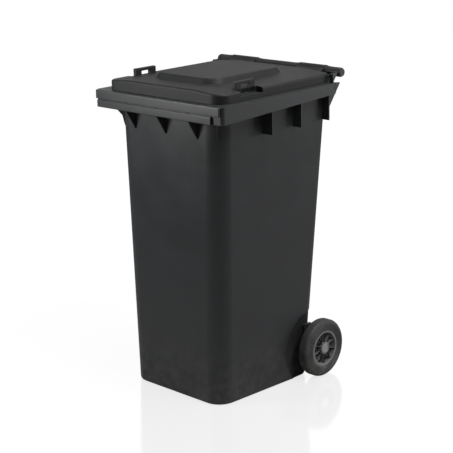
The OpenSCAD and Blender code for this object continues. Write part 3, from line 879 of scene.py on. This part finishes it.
class BIN_OT_handle(bpy.types.Operator):
    """Models the handle bar with the hinge lugs, end brackets and axle lugs at the rear"""
    bl_idname = "bin.handle"
    bl_label = "Handle and lugs"

    def execute(self, context):
        y, z = HINGE.y, HINGE.z
        rear = UPPER_PLAN[3]
        pieces = []
        bar = add_rod("middle_bar", HINGE, BAR_R, -KNUCKLE_IN + LUG_T / 2, KNUCKLE_IN - LUG_T / 2)
        pieces.append(close_piece(bar))
        outer = add_rod("outer_bar", HINGE, BAR_R, KNUCKLE_OUT + LUG_T / 2, BAR_END)
        pieces += [close_piece(outer, softness=2 * MM), mirrored(outer, "outer_bar")]
        for x in (KNUCKLE_IN - LUG_T, KNUCKLE_OUT):
            eye = add_rod("lug_eye", HINGE, LUG_R, x, x + LUG_T)
            close_piece(eye, softness=1.5 * MM)
            web = add_box("lug_web", (x, rear - 12 * MM, z - 120 * MM), (x + LUG_T, y - 10 * MM, z - 6 * MM))
            cut((x, y - 10 * MM, z - 46 * MM), slope(rear - y + 10 * MM, -74 * MM))
            close_piece(web, softness=1.2 * MM)
            pieces += [eye, web, mirrored(eye, "lug_eye"), mirrored(web, "lug_web")]
        rib_y = SIDE_RIBS_Y[2]
        x0, back, neck_in, neck_low = BAR_END - 13 * MM, BAR_R * 0.9, 44 * MM, RIM_FRONT + 12 * MM
        low = skirt_height(rib_y) - 44 * MM
        toe = slope(rib_y - y - back, low - z + 7 * MM)
        foot = add_box("bracket_foot", (x0, rib_y, low), (BAR_END, y + back, neck_low))
        cut((x0, y + back, z - 7 * MM), toe)
        close_piece(foot, softness=1.5 * MM)
        neck = add_box("bracket_neck", (x0, y - neck_in, RIM_FRONT - 5 * MM), (BAR_END, y + back, z))
        cut((x0, y + back, z - 7 * MM), toe)
        cut((x0, y - neck_in, neck_low), slope(neck_in - back, z + 5 * MM - neck_low, -1))
        close_piece(neck, softness=1.5 * MM)
        pieces += [foot, neck, mirrored(foot, "bracket_foot"), mirrored(neck, "bracket_neck")]
        for x in (70 * MM, 212 * MM):
            eye = add_rod("axle_eye", AXLE, 18 * MM, x, x + LUG_T)
            close_piece(eye, softness=1.2 * MM)
            web = add_box("axle_web", (x, AXLE.y - 40 * MM, AXLE.z - 18 * MM),
                          (x + LUG_T, AXLE.y + 11 * MM, AXLE.z + 80 * MM))
            cut((x, AXLE.y + 11 * MM, AXLE.z + 14 * MM), slope(-11 * MM, 66 * MM, -1))
            cut((x, AXLE.y, AXLE.z - 18 * MM), (0, 0.7, -0.7))
            close_piece(web, softness=1.2 * MM)
            pieces += [eye, web, mirrored(eye, "axle_eye"), mirrored(web, "axle_web")]
        piece = join("handle_and_lugs", pieces)
        dress(piece, "tub_plastic", "tub", ["tub"])
        return {"FINISHED"}


class BIN_OT_lid_shell(bpy.types.Operator):
    """Models the lid's crowned shell with its raised panel and finger pockets"""
    bl_idname = "bin.lid_shell"
    bl_label = "Lid shell"

    def execute(self, context):
        lid = context.scene.bin_lid
        gap = 0.5 * MM
        crown, side_h, top = 39 * MM, 31 * MM, 57 * MM
        foot_half, top_half = 153 * MM, 139 * MM
        piece = add_box("lid_shell", (-LID_HALF, LID_FRONT, gap), (LID_HALF, LID_REAR, crown))
        for side in (-1, 1):
            shelf = Vector((side * (LID_HALF - 5 * MM - foot_half), 0, side_h - crown))
            cut((side * foot_half, 0, crown), Vector((0, 1, 0)).cross(shelf) * -side)
        round_edges(piece, 45 * MM, 12, lambda e: upright(e) and middle(e).y < 0.1)
        round_edges(piece, 22 * MM, 6, lambda e: upright(e) and middle(e).y > 0.4)
        round_edges(piece, lid.shoulder, 4, lambda e: len(e.link_faces) == 2 and middle(e).z > 15 * MM
                    and max(f.normal.z for f in e.link_faces) > 0.9
                    and min(f.normal.z for f in e.link_faces) < 0.5)
        front, rear = LID_FRONT + 80 * MM, LID_REAR - 100 * MM
        run_out = 16 * MM
        panel = add_box("panel", (-foot_half, front, 25 * MM), (foot_half, rear, top))
        pick(panel, "VERT", lambda v: v.co.z > 50 * MM)
        bpy.ops.transform.resize(value=(top_half / foot_half, 1 - 2 * run_out / (rear - front), 1),
                                 center_override=(0, (front + rear) / 2, top))
        round_edges(panel, 50 * MM, 12, lambda e: upright(e) and middle(e).y < 0.3)
        round_edges(panel, 22 * MM, 6, lambda e: upright(e) and middle(e).y > 0.3
                    and abs(middle(e).x) > foot_half - 12 * MM)
        round_edges(panel, lid.panel_edge, 3, lambda e: middle(e).z > top - 1 * MM and len(e.link_faces) == 2)
        tools = [panel]
        for side in (-1, 1):
            x0, x1 = sorted((side * (LID_HALF - 29 * MM), side * LID_HALF))
            ear = add_box("ear", (x0, LID_REAR - 24 * MM, gap), (x1, LID_REAR + 12 * MM, side_h - 7 * MM))
            round_edges(ear, 4 * MM, 2, lambda e: middle(e).y > LID_REAR + 5 * MM and middle(e).z > 5 * MM)
            tools.append(ear)
        for tool in tools:
            apply_boolean(piece, tool, "UNION")
        for side in (-1, 1):
            x0, x1 = sorted((side * (GRIP_X + 7 * MM), side * (LID_HALF + 0.05)))
            pocket = add_box("pocket_tool", (x0, 119 * MM, 14 * MM), (x1, 221 * MM, 0.1))
            round_edges(pocket, 3 * MM, 2, lambda e: abs(run(e).x) < 0.9)
            apply_boolean(piece, pocket, "DIFFERENCE")
        pick(piece, "FACE", lambda f: f.normal.z < -0.99 and middle(f).z < gap + 0.1 * MM)
        bpy.ops.mesh.delete(type="FACE")
        thicken(piece, lid.wall)
        seat_on_rim(piece)
        close_piece(piece, smooth=24)
        dress(piece, "lid_plastic", "lid", ["lid"])
        return {"FINISHED"}


class BIN_OT_lid_fittings(bpy.types.Operator):
    """Models the lid's grips, hinge knuckles and pad studs"""
    bl_idname = "bin.lid_fittings"
    bl_label = "Lid grips and knuckles"

    def execute(self, context):
        pieces = []
        low, front, length, hole = 18 * MM, 125 * MM, 90 * MM, 38 * MM
        x0, x1 = GRIP_X - 7 * MM, GRIP_X + 7 * MM
        post = (length - hole) / 2
        grip = add_box("grip", (x0, front, low), (x1, front + length, 57 * MM))
        for y in (front + post, front + post + hole):
            score((0, y, 0), (0, 1, 0))
        for z in (34 * MM, 47 * MM):
            score((0, 0, z), (0, 0, 1))
        pick(grip, "FACE", lambda f: abs(f.normal.x) > 0.9 and abs(middle(f).y - front - length / 2) < 10 * MM
             and abs(middle(f).z - 40.5 * MM) < 5 * MM)
        bpy.ops.mesh.bridge_edge_loops()
        close_piece(grip, softness=2.2 * MM, segments=3)
        seat_on_rim(grip)
        pieces += [grip, mirrored(grip, "grip")]
        a, b = KNUCKLE_IN + 0.5 * MM, KNUCKLE_OUT - 0.5 * MM
        knuckle = add_rod("knuckle", HINGE, KNUCKLE_R, a, b, sides=56)
        close_piece(knuckle, softness=2 * MM, segments=3)
        y, z = HINGE.y, HINGE.z
        web = add_box("knuckle_web", (a, y - 34 * MM, z - 16 * MM), (b, y, z + 18.6 * MM))
        cut((a, y, z + 18.8 * MM), slope(14 * MM, 5 * MM))
        cut((a, y - 14 * MM, z + 14 * MM), slope(20 * MM, 13 * MM))
        close_piece(web, softness=1.5 * MM, segments=2)
        pieces += [knuckle, web, mirrored(knuckle, "knuckle"), mirrored(web, "knuckle_web")]
        studs = []
        for side in (-1, 1):
            select_nothing()
            bpy.ops.mesh.primitive_cylinder_add(vertices=32, radius=9 * MM, depth=28.5 * MM,
                                                location=(side * 180 * MM, 48 * MM, 19.8 * MM))
            stud = open_piece("pad_stud")
            close_piece(stud, softness=0.6 * MM)
            seat_on_rim(stud)
            studs.append(stud)
        piece = join("lid_fittings", pieces + studs)
        dress(piece, "lid_plastic", "lid", ["lid"])
        return {"FINISHED"}


def tyre_profile(settings, seat_in, width, outer):
    """Closed line of (x, radius) round a tyre's section, with sidewall rings and tread grooves."""
    side = [(5 * MM, TYRE_SEAT), (2.2 * MM, TYRE_SEAT + 4 * MM), (1.0 * MM, TYRE_SEAT + 7 * MM)]
    first, last = TYRE_SEAT + 9 * MM, outer - 13 * MM
    step = (last - first) / max(settings.rings, 1)
    for index in range(settings.rings):
        r = first + step * index
        side += [(1.4 * MM, r), (0.2 * MM, r + step * 0.25), (0.2 * MM, r + step * 0.6),
                 (1.4 * MM, r + step * 0.85)]
    side += [(1.6 * MM, outer - 11 * MM), (3.2 * MM, outer - 7.5 * MM), (6 * MM, outer - 3.6 * MM),
             (9.5 * MM, outer - 1.2 * MM)]
    tread = []
    span = width - 24 * MM
    for index in range(settings.grooves):
        x = 12 * MM + span * (index + 0.5) / settings.grooves
        tread += [(x - 2.4 * MM, outer), (x - 1.2 * MM, outer - 2 * MM), (x + 1.2 * MM, outer - 2 * MM),
                  (x + 2.4 * MM, outer)]
    half = side + [(13 * MM, outer)] + tread
    return ([(seat_in + x, r) for x, r in half] + [(seat_in + width - 13 * MM, outer)]
            + [(seat_in + width - x, r) for x, r in reversed(side)])


def dress_wheel_pair(right, name, node, slot, finish=None):
    """Dresses a piece of the right wheel and its mirrored twin on the left wheel."""
    left = mirrored(right, f"{name}_{LEFT}")
    for side, piece in ((RIGHT, right), (LEFT, left)):
        dress(piece, slot, f"wheel_{side}", [f"{node}_{side}"], finish)


class BIN_OT_tyres(bpy.types.Operator):
    """Models the tyres with rings on their sides and grooves in their tread"""
    bl_idname = "bin.tyres"
    bl_label = "Tyres"

    def execute(self, context):
        low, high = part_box("tyre_right")
        profile = tyre_profile(context.scene.bin_wheels, low.x, high.x - low.x, high.z - AXLE.z)
        right = lathe("tyre_rubber_right", AXLE, profile, sides=112)
        close_piece(right, smooth=38)
        dress_wheel_pair(right, "tyre_rubber", "tyre", "tyre_rubber")
        return {"FINISHED"}


class BIN_OT_wheels(bpy.types.Operator):
    """Models the spoked wheel centres and their hub caps"""
    bl_idname = "bin.wheels"
    bl_label = "Wheel centres"

    def execute(self, context):
        wheels = context.scene.bin_wheels
        low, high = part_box("wheel_right")
        x0, x1 = low.x, high.x
        mid = (x0 + x1) / 2
        rim_in, rim_out = x0 + 2 * MM, x1 - 2 * MM
        seat = TYRE_SEAT
        ring = lathe("rim_ring", AXLE, [
            (rim_in, seat - 4.6 * MM), (rim_in - 1 * MM, seat - 3 * MM),
            (rim_in - 1 * MM, seat + 1.5 * MM), (rim_in, seat + 2.2 * MM),
            (rim_in + 1.2 * MM, seat + 2 * MM), (rim_in + 2.4 * MM, seat - 0.2 * MM),
            (rim_out - 2.4 * MM, seat - 0.2 * MM), (rim_out - 1.2 * MM, seat + 2 * MM),
            (rim_out, seat + 2.2 * MM), (rim_out + 1 * MM, seat + 1.5 * MM),
            (rim_out + 1 * MM, seat - 3 * MM), (rim_out, seat - 4.6 * MM),
            (mid + 3 * MM, seat - 6.5 * MM), (mid - 3 * MM, seat - 6.5 * MM)])
        close_piece(ring, smooth=50)
        web = lathe("web", AXLE, [
            (mid - 2.2 * MM, 18 * MM), (mid + 2.2 * MM, 18 * MM), (mid + 2.2 * MM, seat - 5 * MM),
            (mid - 2.2 * MM, seat - 5 * MM)], sides=64)
        close_piece(web)
        hub = lathe("hub", AXLE, [
            (x0, 14.2 * MM), (x0, HUB_R - 1.4 * MM), (x0 + 1.4 * MM, HUB_R), (x1 - 1.4 * MM, HUB_R),
            (x1, HUB_R - 1.4 * MM), (x1, 17.05 * MM), (x1 - 9.4 * MM, 17.05 * MM),
            (x1 - 9.5 * MM, 14.2 * MM)], sides=64)
        close_piece(hub, smooth=50)
        spoke = add_box("spoke", (rim_in + 4 * MM, AXLE.y - 1.9 * MM, AXLE.z + HUB_R - 1.5 * MM),
                        (rim_out - 2.5 * MM, AXLE.y + 1.9 * MM, AXLE.z + seat - 3.5 * MM))
        cut((rim_out - 2.5 * MM, AXLE.y, AXLE.z + 24 * MM),
            Vector((0, 1, 0)).cross(Vector((-3 * MM, 0, seat - 28 * MM))))
        close_piece(spoke, softness=0.9 * MM)
        spokes = [spoke]
        for index in range(1, wheels.spokes):
            angle = index * 2 * math.pi / wheels.spokes
            spokes.append(turn_copy(spoke, f"spoke_{index}", tuple(AXLE), angle))
        right = join("wheel_centre_right", [ring, web, hub] + spokes)
        dress_wheel_pair(right, "wheel_centre", "wheel", "wheel_plastic")
        low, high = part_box("hub_cap_right")
        x0, x1 = low.x, high.x
        cap = lathe("cap_right", AXLE, [
            (x0, 15.4 * MM), (x0, 16.9 * MM), (x1 - 1.6 * MM, 16.9 * MM), (x1 - 0.4 * MM, 15.9 * MM),
            (x1, 14.2 * MM), (x1, 11.6 * MM), (x1 - 1.1 * MM, 10.8 * MM), (x1 - 0.8 * MM, 6.0 * MM),
            (x1 - 0.5 * MM, 0.05 * MM), (x1 - 3 * MM, 0.05 * MM), (x1 - 3 * MM, 15.4 * MM)], sides=64)
        close_piece(cap, smooth=40)
        dress_wheel_pair(cap, "cap", "hub_cap", "wheel_plastic", "cap_plastic")
        return {"FINISHED"}


OPERATORS = (BIN_OT_stage, BIN_OT_finishes, BIN_OT_tub_shell, BIN_OT_rim, BIN_OT_comb_lip, BIN_OT_gussets,
             BIN_OT_handle, BIN_OT_lid_shell, BIN_OT_lid_fittings, BIN_OT_tyres, BIN_OT_wheels)


class BIN_PT_panel(bpy.types.Panel):
    """Lists the bin's steps and their sizes"""
    bl_idname = "BIN_PT_panel"
    bl_label = "Refuse bin"
    bl_space_type = "VIEW_3D"
    bl_region_type = "UI"
    bl_category = "Bin"

    def draw(self, context):
        for operator in OPERATORS:
            self.layout.operator(operator.bl_idname)
        for name, settings in SETTINGS.items():
            box = self.layout.box()
            for key in settings.__annotations__:
                box.prop(getattr(context.scene, name), key)


CLASSES = (*SETTINGS.values(), *OPERATORS, BIN_PT_panel)


def register():
    for cls in CLASSES:
        bpy.utils.register_class(cls)
    for name, settings in SETTINGS.items():
        setattr(bpy.types.Scene, name, PointerProperty(type=settings))


def unregister():
    for name in SETTINGS:
        delattr(bpy.types.Scene, name)
    for cls in reversed(CLASSES):
        bpy.utils.unregister_class(cls)


def main():
    register()
    for operator in OPERATORS:
        group, name = operator.bl_idname.split(".")
        getattr(getattr(bpy.ops, group), name)()
    select_nothing()


if __name__ == "__main__":
    main()
